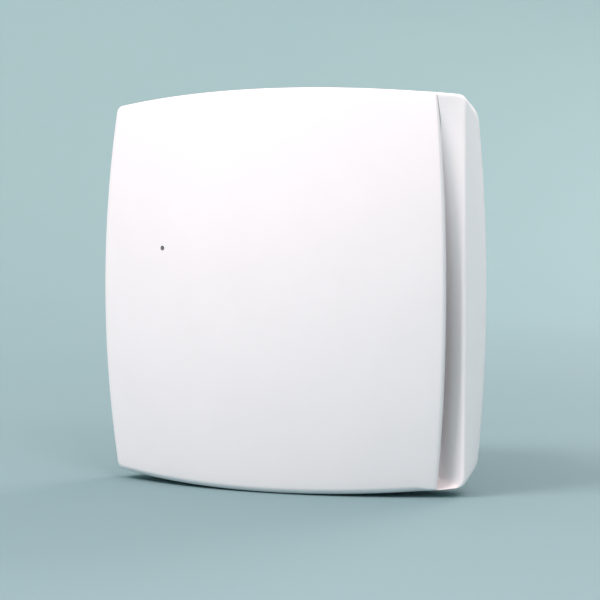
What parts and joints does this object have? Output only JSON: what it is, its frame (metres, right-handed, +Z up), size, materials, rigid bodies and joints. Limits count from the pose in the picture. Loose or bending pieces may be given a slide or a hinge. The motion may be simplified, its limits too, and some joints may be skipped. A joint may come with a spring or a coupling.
{
  "type": "bathroom extractor fan",
  "caption": "Wall extractor fan with a domed soft-square panel, side air inlet, axial impeller, duct spigot and backdraught flaps.",
  "frame": {"origin": "where the duct's axis meets the wall's face, at the middle of the back plate", "axes": "+Y along the duct into the wall, +Z up, +X to the right seen from the room; the front faces -Y"},
  "size_m": [0.18, 0.11, 0.18],
  "materials": {
    "white_shell": "satin moulded white ABS with a very fine spark texture",
    "inner_plastic": "satin moulded off-white ABS",
    "impeller_plastic": "satin light grey plastic",
    "clear_plastic": "clear to milky polycarbonate",
    "board_laminate": "green solder mask on laminate",
    "dark_plastic": "black plastic",
    "blue_plastic": "blue plastic",
    "terminal_plastic": "grey polyamide",
    "rubber": "matt black rubber",
    "foam": "closed-cell foam",
    "steel": "bright drawn steel",
    "zinc_screw": "bright zinc plate",
    "copper_winding": "enamelled copper wire",
    "laminated_iron": "stacked steel laminations"
  },
  "bodies": {
    "housing": {"base_housing": "inner_plastic", "wall_seal": "foam", "cable_grommet": "rubber", "control_board": "board_laminate", "board_screw_1": "zinc_screw", "board_screw_2": "zinc_screw", "terminal_block": "terminal_plastic", "terminal_screw_1": "zinc_screw", "terminal_screw_2": "zinc_screw", "terminal_screw_3": "zinc_screw", "terminal_screw_4": "zinc_screw", "cable_clamp": "inner_plastic", "clamp_screw_1": "zinc_screw", "clamp_screw_2": "zinc_screw", "relay": "dark_plastic", "dropper_capacitor": "blue_plastic", "control_chip": "dark_plastic", "humidity_sensor": "clear_plastic", "status_led": "clear_plastic", "timer_trimmer": "blue_plastic", "humidity_trimmer": "blue_plastic", "wiring_cover": "inner_plastic", "wiring_cover_screw_1": "zinc_screw", "wiring_cover_screw_2": "zinc_screw", "motor_lead": "dark_plastic", "motor_bracket": "inner_plastic", "motor_can": "steel", "motor_end_cap": "steel", "stator_core": "laminated_iron", "front_winding": "copper_winding", "rear_winding": "copper_winding", "front_bearing": "steel", "rear_bearing": "steel", "motor_screw_1": "zinc_screw", "motor_screw_2": "zinc_screw", "motor_screw_3": "zinc_screw", "flap_pin": "steel"},
    "cover": {"cover_frame": "white_shell", "inlet_guard": "white_shell", "cover_screw_1": "zinc_screw", "cover_screw_2": "zinc_screw"},
    "panel": {"front_panel": "white_shell", "status_lens": "clear_plastic"},
    "fan_rotor": {"motor_shaft": "steel", "rotor": "laminated_iron", "impeller": "impeller_plastic", "impeller_clip": "steel"},
    "left_flap": {"flap_left": "impeller_plastic"},
    "right_flap": {"flap_right": "impeller_plastic"},
    "timer_dial": {"timer_knob": "inner_plastic"},
    "humidity_dial": {"humidity_knob": "inner_plastic"}
  },
  "joints": [
    {"name": "cover_pull", "type": "slide", "parent": "housing", "child": "cover", "axis": [0, -1, 0], "range_m": [0, 0.07]},
    {"name": "panel_pull", "type": "slide", "parent": "cover", "child": "panel", "axis": [0, -1, 0], "range_m": [0, 0.05]},
    {"name": "impeller_spin", "type": "hinge", "parent": "housing", "child": "fan_rotor", "pos_m": [0, 0, 0], "axis": [0, 1, 0], "continuous": true},
    {"name": "flap_left_swing", "type": "hinge", "parent": "housing", "child": "left_flap", "pos_m": [0, 0.0593, 0], "axis": [0, 0, -1], "range_deg": [0, 78]},
    {"name": "flap_right_swing", "type": "hinge", "parent": "housing", "child": "right_flap", "pos_m": [0, 0.0593, 0], "axis": [0, 0, 1], "range_deg": [0, 78]},
    {"name": "timer_adjust", "type": "hinge", "parent": "housing", "child": "timer_dial", "pos_m": [-0.0725, -0.012, 0.029], "axis": [0, 1, 0], "range_deg": [-135, 135]},
    {"name": "humidity_adjust", "type": "hinge", "parent": "housing", "child": "humidity_dial", "pos_m": [-0.0725, -0.012, 0.043], "axis": [0, 1, 0], "range_deg": [-135, 135]}
  ]
}
